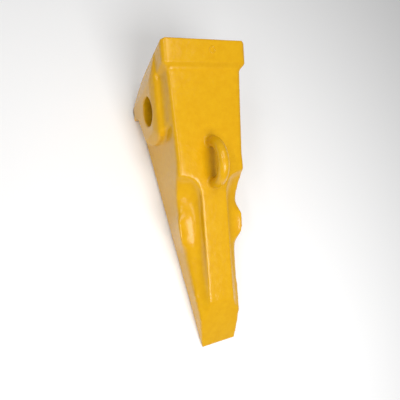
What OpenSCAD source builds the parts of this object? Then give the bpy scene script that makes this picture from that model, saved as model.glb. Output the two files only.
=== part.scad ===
/* [Casting] */
// From the pin axis forward to the cutting edge
tip_reach = 324; // [310:1:336]
// From the pin axis back to the rim of the mouth
mouth_reach = 55.5; // [54:0.5:57]
// Height of the pin axis above the ground line
pin_height = 71; // [69:0.5:74]
// Height of the top face straight above the pin axis
top_height = 57.5; // [56:0.5:60]
// Slope of the top face, in degrees
top_slope = 17.6; // [17:0.1:18]
// Half width of the top face above the pin axis
roof_half = 49.3; // [48:0.1:50]
// Half width of the underside below the pin axis
floor_half = 54.5; // [53:0.1:56]
// Radius of the long top edges
edge_r = 7; // [4:0.5:8]

/* [Ridge and flutes] */
// Half width of the flat ridge between the flutes
ridge_half = 18; // [14:0.5:22]
// Where the flutes bite into the top face, measured forward of the pin axis
flute_start = 96; // [92:1:100]
// Where the widest point of the cheek lobe lies, forward of the pin axis
lobe_at = 164; // [160:1:168]
// How far the cheek lobe stands out of the side
lobe_out = 6.4; // [2:0.1:7]
// Depth of a flute's floor below the top face
flute_drop = 25; // [20:0.5:28]
// How far the cheek lobe's lip stands above the flute's floor
lobe_rise = 11; // [0:0.5:12]
// Where the chisel bevel starts, forward of the pin axis
bevel_start = 262; // [255:1:270]
// Thickness left at the cutting edge
edge_thick = 3.5; // [3:0.5:6]

/* [Collar and pin cheeks] */
// How far the collar stands above the top face
collar_rise = 5; // [3:0.5:6]
// Length of the collar along the top face
collar_long = 25.5; // [24:0.5:27]
// Half width over the cheeks at the pin axis
cheek_half = 62; // [60.5:0.5:64]
// Half width over the collar at the rim
rim_half = 56.2; // [56:0.1:58]
// Half width over the shoulders of the cheeks
shoulder_half = 58.5; // [57:0.5:59]
// How far the shoulders of the cheeks lie below the top face
shoulder_drop = 25.5; // [22:0.5:28]
// Radius of the collar's top corners
collar_r = 9; // [5:0.5:11]

/* [Socket] */
// Half width of the mouth of the socket
mouth_half = 42; // [40:0.5:43]
// Half width of the socket's deep end
deep_half = 31; // [28:0.5:32]
// Depth of the socket forward of the pin axis
socket_deep = 78; // [70:1:82]
// How far the nose seat stands proud of the socket's end
seat_proud = 3; // [2:0.5:4]

/* [Lock set] */
// Radius of the cross hole for the lock pin
hole_r = 19; // [18.5:0.1:19.5]
// Radial clearance of the pin in its hole
pin_gap = 0.07; // [0.02:0.01:0.09]
// Length of the lock pin
pin_long = 103; // [100:1:106]
// How far the pin sits towards the retainer's cheek
pin_shift = 4.5; // [4:0.5:6]
// Radius of the retainer's pocket in the cheek
pocket_r = 27; // [26:0.5:28]
// Where the pocket's floor lies, out from the centre plane
pocket_floor = 45; // [44:0.5:46]
// Radius of the split ring's wire
wire_r = 2.2; // [2:0.1:2.3]

/* [Lifting eye] */
// Radius of the eye's round bar
bar_r = 7; // [6:0.5:9]
// Radius of the eye's bend, to the centre of the bar
bend_r = 26; // [24:0.5:29]
// Straight leg between the top face and the bend
eye_leg = 4.5; // [3:0.5:8]
// Where the eye's middle stands, forward of the pin axis
eye_at = 83.5; // [80:0.5:86]

/* [Hidden] */
$fn = 96;

enamel = "#e8b428";
steel = "#8d8f92";
spring_steel = "#5f6266";
black_rubber = "#222222";

ground = -pin_height;
reach = 4 * cheek_half;         // longer than anything that it cuts
slope = tan(top_slope);
tip = -tip_reach;
flute_from = -flute_start;
flute_low = flute_from - 36;    // where a flute has reached its full depth
lobe_y = -lobe_at;
lobe_flat = 8;                  // the lobe is at its widest this far to both sides
lobe_ramp = 34;                 // it starts this far behind its middle
lobe_step = 28;                 // and ends this far ahead of it
step_in = lobe_y - lobe_step;
flute_end = tip + 39;           // where the flute has run out into the bevel
end_drop = 8;                   // depth of the flute where it runs out
end_hollow = 0.25;              // and how much of its hollow is left there
dive = 1.3;                     // how roundly a flute's floor goes down from the top face
mouth_long = 30;                // length of the rounded mouth of a flute
lip_out = 0.6;                  // how far a flute's lip stands out over the underside
bevel_from = -bevel_start;
underside_rear = ground + 5;    // the underside is relieved behind the edge
body_rear = mouth_reach - collar_long - 2;  // the body ends inside the collar
roof_taper = 0.035;             // what the top face loses on each side, per mm forward
floor_taper = 0.0877;           // and the underside
flare = 1.8;                    // how far the top face widens out at the flutes
flare_long = 21;

function share(v, from, to) = min(1, max(0, (v - from) / (to - from)));
function ease(t) = (1 - cos(180 * t)) / 2;
function lerp(a, b, t) = a + (b - a) * t;
function top_z(y) = top_height + slope * y;
function under_z(y) = ground + (underside_rear - ground) * share(y, tip, body_rear);
function floor_w(y) = floor_half + floor_taper * y;
function roof_w(y) =
    roof_half + roof_taper * y + flare * ease(share(y, flute_from + flare_long, flute_from));

// The lobe swells out of the side's edge and ends in a short step. 0 is none, 1 all of it
function lobe(y) =
    ease(share(y, lobe_y + lobe_ramp, lobe_y + lobe_flat))
    * (1 - ease(share(y, lobe_y - lobe_flat, step_in)));

// It lifts the flute's lip, and runs out along the flute's floor more gently. out is 1 at the lip
swell_from = lobe_y + 58;
swell_top = lobe_y + 14;
swell_end = lobe_y - 71;
function swell(y) =
    ease(share(y, swell_from, swell_top)) * (1 - ease(share(y, lobe_y - 4, swell_end)));
function lift(y, out) = lerp(swell(y) * out, lobe(y) * out, pow(out, 4));

// A flute's lip is the edge that it leaves on the side of the tooth
function lip_w(y) =
    let (start = roof_w(flute_from) - floor_w(flute_from))
    y >= flute_from ? roof_w(y)
    : floor_w(y) + lobe_out * lobe(y) + lerp(start, lip_out, share(y, flute_from, flute_low));

// Depth of a flute's floor below the top face
function floor_drop(y) =
    y >= flute_from ? edge_r
    : y >= flute_low ? lerp(edge_r, flute_drop, pow(sin(90 * share(y, flute_from, flute_low)), dive))
    : lerp(flute_drop, end_drop, share(y, step_in, flute_end));

// The flat on top is the whole roof behind the flutes and the ridge between them
function flat_w(y) =
    let (wide = roof_w(y) - edge_r)
    let (bite = share(y, flute_from - mouth_long, flute_from))
    y >= flute_from ? wide
    : ridge_half + (roof_w(flute_from) - edge_r - ridge_half) * (1 - sqrt(1 - bite * bite));

// -1 rounds the edge off, 0 is a plain slope, 1 hollows it out
function hollow(y) =
    y >= flute_from ? -1
    : y >= flute_from - 8 ? lerp(-1, 1, ease(share(y, flute_from, flute_from - 8)))
    : lerp(1, end_hollow, ease(share(y, step_in, flute_end)));

function along(t, h) =
    h < 0 ? lerp(t, sin(90 * t), -h) : lerp(t, 1 - cos(90 * t), h);
function down(t, h) =
    h < 0 ? lerp(t, 1 - cos(90 * t), -h) : lerp(t, sin(90 * t), h);

curve_steps = 12;
foot_cut = 3;
function half_section(y) =
    let (w0 = flat_w(y), w1 = lip_w(y), drop = floor_drop(y), h = hollow(y), z0 = top_z(y))
    let (wf = floor_w(y), zf = under_z(y))
    concat(
        [for (i = [0:curve_steps])
            let (t = i / curve_steps)
            let (out = along(t, h))
            [w0 + (w1 - w0) * out, z0 - drop * down(t, h) + lobe_rise * lift(y, out)]],
        [[wf, zf + foot_cut], [wf - foot_cut, zf]]);

function section(y) =
    let (right = half_section(y))
    let (n = len(right))
    concat(
        [for (p = right) [p[0], y, p[1]]],
        [for (i = [n - 1:-1:0]) [-right[i][0], y, right[i][1]]]);

stations = concat(
    [for (y = [tip:10:step_in - 8]) y],
    [for (y = [step_in:4:flute_low]) y],
    [for (y = [flute_low + 4:3:flute_from - 4]) y],
    [flute_from - 2, flute_from, flute_from + 8, flute_from + flare_long, -30, 0, body_rear]);

// A closed skin over a list of rings that all have the same number of points
module skin(rings) {
    m = len(rings[0]);
    k = len(rings);
    points = [for (ring = rings) each ring];
    sides = [for (j = [0:k - 2], i = [0:m - 1])
        each let (a = j * m + i, b = j * m + (i + 1) % m)
            [[a, b + m, b], [a, a + m, b + m]]];
    front = [for (i = [0:m - 1]) i];
    rear = [for (i = [m - 1:-1:0]) (k - 1) * m + i];
    polyhedron(points = points, faces = concat(sides, [front, rear]), convexity = 6);
}

module body() {
    bevel_angle = atan((top_z(bevel_from) - ground - edge_thick) / (tip_reach - bevel_start));
    difference() {
        skin([for (y = stations) section(y)]);
        translate([0, bevel_from, top_z(bevel_from)])
            rotate([bevel_angle, 0, 0])
                translate([-reach / 2, -reach, 0])
                    cube(reach);
    }
}

// The raised collar round the mouth, and the cheeks below it that carry the pin holes
collar_front = mouth_reach - collar_long;
collar_foot = collar_front - 5;
collar_half = cheek_half - 5.2;
collar_low = 20;                // the collar starts this far above the pin axis
foot_half = cheek_half + 0.5;
function collar_z(y) = top_z(y) + collar_rise / cos(top_slope);

// A solid whose outline is given in all three views. The front view may lean back by tilt
module three_view(side, plan, tilt = 0) {
    intersection() {
        rotate([90, 0, 90])
            linear_extrude(reach, center = true)
                polygon(side);
        linear_extrude(reach, center = true)
            polygon(plan);
        rotate([90 + tilt, 0, 0])
            linear_extrude(reach, center = true)
                children(0);
    }
}

module both_sides(points) {
    n = len(points);
    polygon(concat(points, [for (i = [n - 1:-1:0]) [-points[i][0], points[i][1]]]));
}

module collar() {
    top = top_height * cos(top_slope) + collar_rise;
    waist = roof_w(collar_foot) - 1;
    three_view(
        side = [
            [mouth_reach, collar_z(mouth_reach)], [collar_front, collar_z(collar_front)],
            [collar_foot, top_z(collar_foot) - 1], [collar_foot, collar_low], [mouth_reach, collar_low]],
        plan = [
            [-rim_half, mouth_reach], [rim_half, mouth_reach],
            [rim_half, collar_front + 1], [waist, collar_foot],
            [-waist, collar_foot], [-rim_half, collar_front + 1]],
        tilt = top_slope)
        difference() {
            both_sides([[cheek_half, 0], [collar_half, top]]);
            for (side = [-1, 1])
                scale([side, 1])
                    round_off([collar_half - collar_r, top - collar_r], collar_r);
        }
}

// What a round corner of radius r takes off the square corner beyond the point at
module round_off(at, r) {
    translate(at)
        difference() {
            square(2 * r);
            circle(r);
        }
}

// Seen from the side, a cheek runs from the rim round the hole and down to the heel on the ground.
// Its shoulders run parallel to the top face, as the collar does, so the front view leans with it
module cheeks() {
    shoulder = (top_height - shoulder_drop) * cos(top_slope);
    face_top = hole_r - 1;
    three_view(
        side = [
            [mouth_reach, 50], [collar_front, 50], [collar_front - 1, 43],
            [collar_front - 4, 38], [20, 60], [-28, 60], [-34, 23], [-40, 14], [-42.5, 3],
            [-42.5, -10], [-40, -23], [-33, -33], [8, -50], [14, -59], [16, ground],
            [35.5, ground], [40, -59], [46.5, -45], [51, -28], [mouth_reach, -10]],
        plan = [
            [-rim_half, mouth_reach], [rim_half, mouth_reach],
            [foot_half, 30], [foot_half, -30], [foot_half - 6, -44],
            [-foot_half + 6, -44], [-foot_half, -30], [-foot_half, 30]],
        tilt = top_slope)
        both_sides([
            [foot_half, 2 * ground], [foot_half, face_top], [shoulder_half + 2, shoulder - 4],
            [shoulder_half, shoulder],
            [shoulder_half - 5, shoulder + 3], [shoulder_half - 7.5, shoulder + 8],
            [shoulder_half - 9, shoulder + 16]]);
}

// The pocket for the adapter's nose, with a raised seat at its deep end
mouth_low = -50;
mouth_high = 62;
deep_low = -46;
deep_high = 6;
module socket() {
    hull() {
        translate([-mouth_half, mouth_reach, mouth_low])
            cube([2 * mouth_half, 1, mouth_high - mouth_low]);
        translate([-deep_half, -socket_deep, deep_low])
            cube([2 * deep_half, 1, deep_high - deep_low]);
    }
}

module nose_seat() {
    seat_half = 22;
    seat_root = 2;
    translate([-seat_half, -socket_deep - seat_root, deep_low + 10])
        cube([2 * seat_half, seat_root + seat_proud, deep_high - deep_low - 20]);
}

module along_x(from, to, r) {
    translate([from, 0, 0])
        rotate([0, 90, 0])
            cylinder(h = to - from, r = r);
}

module tooth_casting() {
    color(enamel) {
        difference() {
            union() {
                body();
                collar();
                cheeks();
            }
            socket();
            along_x(-reach / 2, reach / 2, hole_r);
            along_x(20, pocket_floor, pocket_r);
        }
        nose_seat();
    }
}

module lifting_eye() {
    foot_flare = 4;
    color(enamel)
        translate([0, -eye_at, top_z(-eye_at)])
            rotate([top_slope, 0, 0]) {
                translate([0, 0, eye_leg])
                    rotate([90, 0, 90])
                        rotate_extrude(angle = 180)
                            translate([bend_r, 0])
                                circle(bar_r);
                for (side = [-1, 1])
                    translate([0, side * bend_r, 0]) {
                        cylinder(h = eye_leg, r = bar_r);
                        cylinder(h = eye_leg, r1 = bar_r + foot_flare, r2 = bar_r);
                    }
            }
}

groove_x = pocket_floor - wire_r - 0.8;
pin_r = hole_r - pin_gap;
ring_r = pin_r + 0.6;
module lock_pin() {
    left = pin_shift - pin_long / 2;
    cut = 3;
    groove_r = ring_r - wire_r - 0.35;
    groove_half = wire_r + 0.5;
    color(steel)
        rotate([0, 90, 0])
            rotate_extrude()
                polygon([
                    [0, left], [pin_r - cut, left], [pin_r, left + cut],
                    [pin_r, groove_x - groove_half], [groove_r, groove_x - groove_half],
                    [groove_r, groove_x + groove_half], [pin_r, groove_x + groove_half],
                    [pin_r, left + pin_long - cut], [pin_r - cut, left + pin_long],
                    [0, left + pin_long]]);
}

module retainer_ring() {
    gap_angle = 40;
    color(spring_steel)
        translate([groove_x, 0, 0])
            rotate([0, 90, 0])
                rotate([0, 0, gap_angle / 2])
                    rotate_extrude(angle = 360 - gap_angle)
                        translate([ring_r, 0])
                            circle(wire_r);
}

module retainer_rubber() {
    inner = ring_r + wire_r + 0.1;
    thick = 5.2;
    color(black_rubber)
        difference() {
            along_x(pocket_floor - thick, pocket_floor, pocket_r);
            along_x(pocket_floor - thick - 1, pocket_floor + 1, inner);
        }
}

tooth_casting();
lifting_eye();
lock_pin();
retainer_ring();
retainer_rubber();
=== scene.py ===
import bpy
import bmesh
import math
import numpy as np
from mathutils import Matrix, Vector, noise


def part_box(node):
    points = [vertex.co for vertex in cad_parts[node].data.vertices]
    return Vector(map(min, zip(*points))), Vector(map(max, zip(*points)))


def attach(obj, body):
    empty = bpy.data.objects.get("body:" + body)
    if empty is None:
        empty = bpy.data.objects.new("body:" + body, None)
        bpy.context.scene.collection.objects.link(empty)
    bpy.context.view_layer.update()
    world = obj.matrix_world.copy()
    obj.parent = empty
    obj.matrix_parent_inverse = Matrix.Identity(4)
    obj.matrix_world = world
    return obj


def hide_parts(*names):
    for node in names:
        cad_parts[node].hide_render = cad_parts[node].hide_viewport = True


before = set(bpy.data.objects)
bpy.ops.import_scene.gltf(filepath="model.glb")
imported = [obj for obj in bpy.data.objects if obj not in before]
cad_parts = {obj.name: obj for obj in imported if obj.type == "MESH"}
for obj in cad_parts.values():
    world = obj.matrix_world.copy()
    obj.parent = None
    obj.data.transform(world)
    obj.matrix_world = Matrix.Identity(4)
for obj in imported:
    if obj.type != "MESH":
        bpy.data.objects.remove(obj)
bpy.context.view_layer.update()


# ---------------------------------------------------------------------------
# The studio: a pale paper floor under the tooth, which lies on its flat
# underside, soft lights, and a camera that looks steeply down on it from its left.
# ---------------------------------------------------------------------------
MM = 0.001
scene = bpy.context.scene


def hex_colour(text):
    """An sRGB hex colour as the linear RGBA that the shaders take."""
    parts = [int(text[i:i + 2], 16) / 255 for i in (0, 2, 4)]
    return [p / 12.92 if p <= 0.04045 else ((p + 0.055) / 1.055) ** 2.4 for p in parts] + [1.0]


def add_node(material, kind, settings=None, links=None):
    """Adds a shader node, with its settings and links.

    Each setting goes to the socket of that name, or else to the node's own field.
    The links say what feeds a socket, as {socket: (node, output)}.
    """
    node = material.node_tree.nodes.new(kind)
    for key, value in (settings or {}).items():
        if key in node.inputs:
            node.inputs[key].default_value = value
        else:
            setattr(node, key, value)
    for key, (source, output) in (links or {}).items():
        material.node_tree.links.new(source.outputs[output], node.inputs[key])
    return node


def new_material(name):
    """A material with no nodes in it yet."""
    material = bpy.data.materials.new(name)
    material.use_nodes = True
    material.node_tree.nodes.clear()
    return material


def finish_material(material, shader):
    """Joins a material's shader to a new output."""
    add_node(material, "ShaderNodeOutputMaterial", links={"Surface": (shader, 0)})


low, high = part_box("tooth_casting")
middle = (low + high) / 2

# Matt white background paper, which scatters the light evenly. Its fibres are too fine
# to show, so they are drawn as a faint unevenness. The pattern runs on coordinates that
# go from 0 to 1 across the sheet.
sheet = 8.0                       # the side of the sheet, in metres
fibre = 8.9 * MM
paper = new_material("matt_background_paper")
fibres = add_node(paper, "ShaderNodeTexNoise", {"Scale": sheet / fibre, "Detail": 3.0})
paper_bump = add_node(paper, "ShaderNodeBump", {"Strength": 0.05, "Distance": 0.2 * MM},
                      {"Height": (fibres, "Fac")})
finish_material(paper, add_node(
    paper, "ShaderNodeBsdfPrincipled",
    {"Base Color": hex_colour("fafafa"), "Roughness": 0.9, "Specular IOR Level": 0.1},
    {"Normal": (paper_bump, "Normal")}))
floor_mesh = bpy.data.meshes.new("studio_floor")
half = sheet / 2
floor_mesh.from_pydata(
    [(-half, -half, low.z), (half, -half, low.z), (half, half, low.z), (-half, half, low.z)], [],
    [(0, 1, 2, 3)])
floor_mesh.materials.append(paper)
studio_floor = bpy.data.objects.new("studio_floor", floor_mesh)
scene.collection.objects.link(studio_floor)

world = bpy.data.worlds.new("studio_air")
world.use_nodes = True
air = world.node_tree.nodes["Background"]
air.inputs["Color"].default_value = hex_colour("ffffff")
air.inputs["Strength"].default_value = 0.24
scene.world = world
scene.view_settings.view_transform = "Standard"


def softbox(name, towards, distance, size, watts):
    """A soft light that hangs in a direction from the tooth's middle, and faces it.

    distance, and the two sides that size gives, are in metres.
    """
    light = bpy.data.lights.new(name, "AREA")
    light.shape = "RECTANGLE"
    light.size, light.size_y = size
    light.energy = watts
    lamp = bpy.data.objects.new(name, light)
    direction = Vector(towards).normalized()
    lamp.location = middle + direction * distance
    lamp.rotation_euler = direction.to_track_quat("Z", "Y").to_euler()
    scene.collection.objects.link(lamp)


softbox("tip_softbox", towards=(-0.02, -0.60, 0.85), distance=0.78, size=(0.45, 0.45), watts=4.5)
softbox("rear_softbox", towards=(-0.05, 0.30, 1.0), distance=0.9, size=(0.5, 0.5), watts=2.7)
softbox("left_strip", towards=(-0.65, -0.04, 0.76), distance=1.2, size=(1.0, 0.10), watts=2.8)

# The lens is a short normal one, so what is near looks larger. The camera is rolled on
# its own axis, so the tip points down in its view. Places are in millimetres.
camera_data = bpy.data.cameras.new("studio_camera")
camera_data.sensor_width = 36.0
camera_data.lens = 32.05
camera = bpy.data.objects.new("studio_camera", camera_data)
camera_at = Vector((-200.4, -183.8, 428.1)) * MM
aim = Vector((-13.8, -125.4, 0.0)) * MM
roll = math.radians(62.6)
camera.location = camera_at
level = (aim - camera_at).to_track_quat("-Z", "Y").to_matrix()
camera.rotation_euler = (level @ Matrix.Rotation(roll, 3, "Z")).to_euler()
scene.collection.objects.link(camera)
scene.camera = camera


# ---------------------------------------------------------------------------
# The casting: one lump of low-alloy steel, poured in a sand mould, shot
# blasted and sprayed with yellow enamel. Every edge and inside corner is
# rounded, as a sand mould needs, and the skin is slightly uneven.
# ---------------------------------------------------------------------------
def bake_modifiers(piece):
    """Replaces a piece's mesh by what its modifiers make of it."""
    depsgraph = bpy.context.evaluated_depsgraph_get()
    made = bpy.data.meshes.new_from_object(piece.evaluated_get(depsgraph))
    made.name = piece.name
    piece.modifiers.clear()
    piece.data = made


def read_points(mesh, field="co"):
    """A mesh's points as an array, in millimetres, or its points' normals."""
    flat = np.empty(len(mesh.vertices) * 3)
    mesh.vertices.foreach_get(field, flat)
    return flat.reshape(-1, 3) / (MM if field == "co" else 1)


def write_points(mesh, points):
    """Moves a mesh's points to an array of places in millimetres."""
    mesh.vertices.foreach_set("co", (points * MM).ravel())
    mesh.update()


def rise(v, start, end):
    """0 up to start, 1 from end on, and a smooth rise between."""
    t = np.clip((v - start) / (end - start), 0, 1)
    return t * t * (3 - 2 * t)


def band(v, start, end, edge):
    """1 between start and end, falling off to 0 over an edge on each side."""
    return rise(v, start - edge, start) * (1 - rise(v, end, end + edge))


def shade_smooth(mesh):
    """Has the light run on over the edges between a mesh's cells."""
    for polygon in mesh.polygons:
        polygon.use_smooth = True


def soften(piece, steps, weigh=None):
    """Rounds a whole piece, or only where weigh(side, along, up) is above 0."""
    levels = 10
    smooth = piece.modifiers.new("soften", "SMOOTH")
    smooth.factor = 0.5
    smooth.iterations = steps
    if weigh:
        points = read_points(piece.data)
        weights = np.clip(weigh(np.abs(points[:, 0]), points[:, 1], points[:, 2]), 0, 1)
        group = piece.vertex_groups.new(name="soft")
        for step in range(1, levels + 1):
            chosen = np.nonzero(np.rint(weights * levels) == step)[0]
            group.add(chosen.tolist(), step / levels, "REPLACE")
        smooth.vertex_group = "soft"
    bake_modifiers(piece)
    piece.vertex_groups.clear()


def cast_skin(piece, wave, ripple):
    """Makes a surface as uneven as a sand mould leaves it.

    wave and ripple are the heights of the long and the short unevenness, in millimetres.
    """
    wave_long = 34.0
    ripple_long = 7.5
    apart = Vector((50, 0, 0))    # so that the two don't rise and fall together
    points = read_points(piece.data)
    normals = read_points(piece.data, "normal")
    heave = np.array([
        wave * noise.noise(Vector(p) / wave_long) + ripple * noise.noise(Vector(p) / ripple_long + apart)
        for p in points])
    write_points(piece.data, points + normals * heave[:, None])


casting = bpy.data.objects.new("casting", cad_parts["tooth_casting"].data.copy())
scene.collection.objects.link(casting)
weld = bmesh.new()
weld.from_mesh(casting.data)
bmesh.ops.remove_doubles(weld, verts=weld.verts, dist=0.01 * MM)
weld.to_mesh(casting.data)
weld.free()

cell = 1.5                        # size of the mesh's cells, in millimetres
skin = casting.modifiers.new("cells", "REMESH")
skin.mode = "VOXEL"
skin.voxel_size = cell * MM
bake_modifiers(casting)

# The places that are rounder than the rest. From the middle of the pin, side is how far
# out to either side a point is, along how far towards the socket's mouth and up how high,
# in millimetres. The top face and the shoulders slope along the tooth, so the heights
# that go with this slope are the ones over the pin.
roof_slope = math.tan(math.radians(17.6))
shoulder_at_pin = 32.0


def collar_foot(side, along, up):
    """The fillet where the collar stands on the top face and on the sides."""
    return band(along, 22, 28, edge=3) * rise(up, 22, 34)


def shoulders(side, along, up):
    """The round shoulder over each pin hole and the hollow above it."""
    over = up - shoulder_at_pin - roof_slope * along
    top = band(over, -7, 12, edge=3) * band(along, -34, 24, edge=6)
    front = band(along, -46, -33, edge=5) * band(up, -34, 30, edge=6)
    return rise(side, 48, 51) * np.maximum(top, front)


def flute_hollows(side, along, up):
    """The hollows beside the ridge, out to their lips."""
    return rise(side, 19, 24) * band(along, -292, -100, edge=10) * rise(up, -62, -50)


def flute_floors(side, along, up):
    """The shallow middle of each hollow, which a core box leaves smoother than its lips."""
    return band(side, 27, 36, edge=8) * band(along, -235, -112, edge=14) * rise(up, -50, -40)


soften(casting, 4)
soften(casting, 10, collar_foot)
soften(casting, 12, shoulders)
soften(casting, 14, flute_hollows)
soften(casting, 60, flute_floors)
cast_skin(casting, wave=0.22, ripple=0.09)

# The pin's holes are drilled, so they stay round and their rims stay crisp: the points
# that the softening drew away from a hole's wall, in either cheek, go back to it
hole_radius = 19.0
drawn_away = 1.3                  # the most that a point is moved
cheeks_from = 40.0
points = read_points(casting.data)
from_axis = np.hypot(points[:, 1], points[:, 2])
drilled = (from_axis < hole_radius + drawn_away) & (np.abs(points[:, 0]) > cheeks_from)
points[drilled, 1:] *= (hole_radius / from_axis[drilled])[:, None]
write_points(casting.data, points)

# The foundry's mark: a small plain ring that stands up from the collar's top face
mark_at = Vector((8.0, 43.5, 0.0))
mark_radius = 3.6
mark_wire = 0.75
mark_turns = 40
mark_sides = 10
collar_at_pin = 62.7
mark_mesh = bmesh.new()
mark_mesh.from_mesh(casting.data)
loops = []
for i in range(mark_turns):
    angle = 2 * math.pi * i / mark_turns
    outward = Vector((math.cos(angle), math.sin(angle), 0))
    loop = []
    for k in range(mark_sides):
        lean = 2 * math.pi * k / mark_sides
        at = mark_at + outward * (mark_radius + mark_wire * math.cos(lean))
        at.z = collar_at_pin + roof_slope * at.y + mark_wire * math.sin(lean)
        loop.append(mark_mesh.verts.new(at * MM))
    loops.append(loop)
for near, far in zip(loops, loops[1:] + loops[:1]):
    for k in range(mark_sides):
        beside = (k + 1) % mark_sides
        mark_mesh.faces.new((near[k], far[k], far[beside], near[beside]))
mark_mesh.to_mesh(casting.data)
mark_mesh.free()
shade_smooth(casting.data)

# Yellow alkyd enamel sprayed thick over shot-blasted cast steel. The gloss is broken
# by the casting's grain under it, and the colour drifts a little with the film's depth.
film_drift = 8 * MM
enamel = new_material("yellow_enamel_on_cast_steel")
place = add_node(enamel, "ShaderNodeTexCoord")
drift = add_node(enamel, "ShaderNodeTexNoise", {"Scale": 1 / film_drift, "Detail": 4.0, "Roughness": 0.65},
                 {"Vector": (place, "Object")})
hues = add_node(enamel, "ShaderNodeValToRGB", links={"Fac": (drift, "Fac")})
hues.color_ramp.elements[0].position = 0.32
hues.color_ramp.elements[0].color = hex_colour("d69e08")
hues.color_ramp.elements[1].position = 0.68
hues.color_ramp.elements[1].color = hex_colour("dca70c")
gloss = add_node(enamel, "ShaderNodeMapRange", {"To Min": 0.15, "To Max": 0.26},
                 {"Value": (drift, "Fac")})

# Painted shade: brown flecks darken the corner at the heel and the corner at the front end of the pin
# cheek, where shade falls.
# The flecks crowd in the middle of each spot and thin out towards its edge.
painted_shade_spots = (
    (Vector((-62.0, 27.0, -68.0)), 15.0),    # the middle and the radius, in millimetres
    (Vector((-62.0, -34.0, -31.0)), 6.0),
)
fleck = 4 * MM
flecks = add_node(enamel, "ShaderNodeTexNoise", {"Scale": 1 / fleck, "Detail": 5.0, "Roughness": 0.7},
                  {"Vector": (place, "Object")})
colour = hues
for spot, spot_radius in painted_shade_spots:
    away = add_node(enamel, "ShaderNodeVectorMath", {"operation": "DISTANCE"},
                    {"Vector": (place, "Object")})
    away.inputs[1].default_value = spot * MM
    crowding = add_node(enamel, "ShaderNodeMapRange",
                        {"From Min": spot_radius * MM, "From Max": 0.2 * spot_radius * MM,
                         "To Min": -0.5, "To Max": 0.35},
                        {"Value": (away, "Value")})
    painted_shade = add_node(enamel, "ShaderNodeMath", {"operation": "ADD"},
                    {0: (crowding, "Result"), 1: (flecks, "Fac")})
    shown = add_node(enamel, "ShaderNodeMapRange", {"From Min": 0.5, "From Max": 0.72, "To Max": 0.75},
                     {"Value": (painted_shade, "Value")})
    # the brown of the painted shade, mixed into the enamel where the flecks show
    colour = add_node(enamel, "ShaderNodeMixRGB", {"Color2": hex_colour("7a5a2c")},
                      {"Fac": (shown, "Result"), "Color1": (colour, "Color")})

# The grain under the film: clumps of moulding sand, and the dents of the shot, which
# are drawn coarse so that they show
sand_clump = 6 * MM
shot_dent = 2.2 * MM
sand = add_node(enamel, "ShaderNodeTexNoise", {"Scale": 1 / sand_clump, "Detail": 2.0},
                {"Vector": (place, "Object")})
blast = add_node(enamel, "ShaderNodeTexNoise", {"Scale": 1 / shot_dent, "Detail": 4.0, "Roughness": 0.6},
                 {"Vector": (place, "Object")})
coarse = add_node(enamel, "ShaderNodeBump", {"Strength": 0.5, "Distance": 0.6 * MM},
                  {"Height": (sand, "Fac")})
fine = add_node(enamel, "ShaderNodeBump", {"Strength": 0.35, "Distance": 0.25 * MM},
                {"Height": (blast, "Fac"), "Normal": (coarse, "Normal")})
finish_material(enamel, add_node(
    enamel, "ShaderNodeBsdfPrincipled", {"IOR": 1.42},
    {"Base Color": (colour, "Color"), "Roughness": (gloss, "Result"), "Normal": (fine, "Normal")}))
casting.data.materials.clear()
casting.data.materials.append(enamel)
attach(casting, "tooth")
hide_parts("tooth_casting")


# ---------------------------------------------------------------------------
# The lifting eye: a half ring of round bar on the top face for a sling hook,
# run into the casting with a soft fillet round each foot and painted with it.
# ---------------------------------------------------------------------------
bar_radius = 7.0
bend_radius = 26.0
leg = 4.5
fillet = 4.5
eye_along = -83.5
roof_at_pin = 57.5
sunk = 0.4                        # the feet start this far under the top face, so no gap shows
bar_sides = 40
stations = 56
path_long = 2 * leg + math.pi * bend_radius
eye_mesh = bmesh.new()
loops = []
for i in range(stations + 1):
    # Stations crowd towards the feet, where the fillets are
    s = path_long * (1 - math.cos(math.pi * i / stations)) / 2
    if s < leg:
        angle = 0.0
        centre = Vector((0, bend_radius, s))
    elif s > path_long - leg:
        angle = math.pi
        centre = Vector((0, -bend_radius, path_long - s))
    else:
        angle = (s - leg) / bend_radius
        centre = Vector((0, bend_radius * math.cos(angle), leg + bend_radius * math.sin(angle)))
    from_foot = min(s, path_long - s)
    flare = fillet - math.sqrt(fillet ** 2 - (fillet - min(from_foot, fillet)) ** 2)
    radius = bar_radius + flare
    outward = Vector((0, math.cos(angle), math.sin(angle)))
    across = Vector((1, 0, 0))
    loop = []
    for k in range(bar_sides):
        lean = 2 * math.pi * k / bar_sides
        at = centre + outward * radius * math.cos(lean) + across * radius * math.sin(lean)
        loop.append(eye_mesh.verts.new(at))
    loops.append(loop)
for near, far in zip(loops, loops[1:]):
    for k in range(bar_sides):
        beside = (k + 1) % bar_sides
        eye_mesh.faces.new((near[k], near[beside], far[beside], far[k]))
for end in (loops[0], loops[-1]):
    eye_mesh.faces.new(end)
bmesh.ops.recalc_face_normals(eye_mesh, faces=eye_mesh.faces)
eye_foot = Vector((0, eye_along, roof_at_pin + roof_slope * eye_along - sunk))
stand = Matrix.Scale(MM, 4) @ Matrix.Translation(eye_foot)
eye_mesh.transform(stand @ Matrix.Rotation(math.atan(roof_slope), 4, "X"))
eye_data = bpy.data.meshes.new("eye")
eye_mesh.to_mesh(eye_data)
eye_mesh.free()
shade_smooth(eye_data)
eye_data.materials.append(enamel)
eye = bpy.data.objects.new("eye", eye_data)
scene.collection.objects.link(eye)
cast_skin(eye, wave=0.3, ripple=0.2)
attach(eye, "tooth")
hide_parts("lifting_eye")


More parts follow.
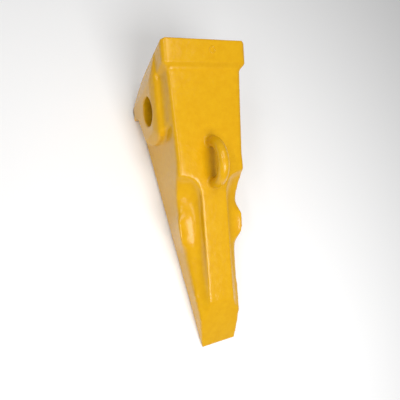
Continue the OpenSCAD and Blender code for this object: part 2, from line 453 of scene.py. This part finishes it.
# ---------------------------------------------------------------------------
# The lock set: a turned steel pin across the socket, a split ring of spring
# wire that snaps into its groove, and the moulded rubber bush that holds it.
# ---------------------------------------------------------------------------
# Turned alloy steel, oiled: fine rings run round the pin, and the oil has stained it in
# patches. The rings are a lathe's feed apart, drawn coarse so that they show. The wave
# pattern makes 10 / pi waves in a length of 1 at a scale of 1.
feed = 1.2 * MM
oil_patch = 12 * MM
turned = new_material("turned_oiled_steel")
place = add_node(turned, "ShaderNodeTexCoord")
lathe = add_node(turned, "ShaderNodeTexWave",
                 {"bands_direction": "X", "Scale": math.pi / (10 * feed), "Distortion": 0.4},
                 {"Vector": (place, "Object")})
stain = add_node(turned, "ShaderNodeTexNoise", {"Scale": 1 / oil_patch, "Detail": 4.0},
                 {"Vector": (place, "Object")})
tone = add_node(turned, "ShaderNodeValToRGB", links={"Fac": (stain, "Fac")})
tone.color_ramp.elements[0].position = 0.35
tone.color_ramp.elements[0].color = hex_colour("55534f")
tone.color_ramp.elements[1].position = 0.7
tone.color_ramp.elements[1].color = hex_colour("8b8984")
rings_bump = add_node(turned, "ShaderNodeBump", {"Strength": 0.2, "Distance": 0.05 * MM},
                      {"Height": (lathe, "Fac")})
wear = add_node(turned, "ShaderNodeMapRange", {"To Min": 0.28, "To Max": 0.5},
                {"Value": (stain, "Fac")})
finish_material(turned, add_node(
    turned, "ShaderNodeBsdfPrincipled", {"Metallic": 1.0},
    {"Base Color": (tone, "Color"), "Roughness": (wear, "Result"), "Normal": (rings_bump, "Normal")}))

# Tempered spring wire: dark blue-grey oxide with a low sheen
oxide_patch = 4 * MM
tempered = new_material("tempered_spring_wire")
place = add_node(tempered, "ShaderNodeTexCoord")
oxide = add_node(tempered, "ShaderNodeTexNoise", {"Scale": 1 / oxide_patch, "Detail": 3.0},
                 {"Vector": (place, "Object")})
tone = add_node(tempered, "ShaderNodeValToRGB", links={"Fac": (oxide, "Fac")})
tone.color_ramp.elements[0].color = hex_colour("2b2d31")
tone.color_ramp.elements[1].color = hex_colour("4c4f55")
sheen = add_node(tempered, "ShaderNodeMapRange", {"To Min": 0.35, "To Max": 0.55},
                 {"Value": (oxide, "Fac")})
finish_material(tempered, add_node(
    tempered, "ShaderNodeBsdfPrincipled", {"Metallic": 1.0},
    {"Base Color": (tone, "Color"), "Roughness": (sheen, "Result")}))

# Moulded black rubber: matt, with a faint bloom
bloom_patch = 6 * MM
rubber = new_material("moulded_black_rubber")
place = add_node(rubber, "ShaderNodeTexCoord")
bloom = add_node(rubber, "ShaderNodeTexNoise", {"Scale": 1 / bloom_patch, "Detail": 4.0},
                 {"Vector": (place, "Object")})
tone = add_node(rubber, "ShaderNodeValToRGB", links={"Fac": (bloom, "Fac")})
tone.color_ramp.elements[0].color = hex_colour("1b1b1b")
tone.color_ramp.elements[1].color = hex_colour("2e2e2d")
matt = add_node(rubber, "ShaderNodeMapRange", {"To Min": 0.6, "To Max": 0.8}, {"Value": (bloom, "Fac")})
finish_material(rubber, add_node(
    rubber, "ShaderNodeBsdfPrincipled", {"IOR": 1.52},
    {"Base Color": (tone, "Color"), "Roughness": (matt, "Result")}))

for name, material in (("lock_pin", turned), ("retainer_ring", tempered), ("retainer_rubber", rubber)):
    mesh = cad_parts[name].data
    mesh.materials.clear()
    mesh.materials.append(material)
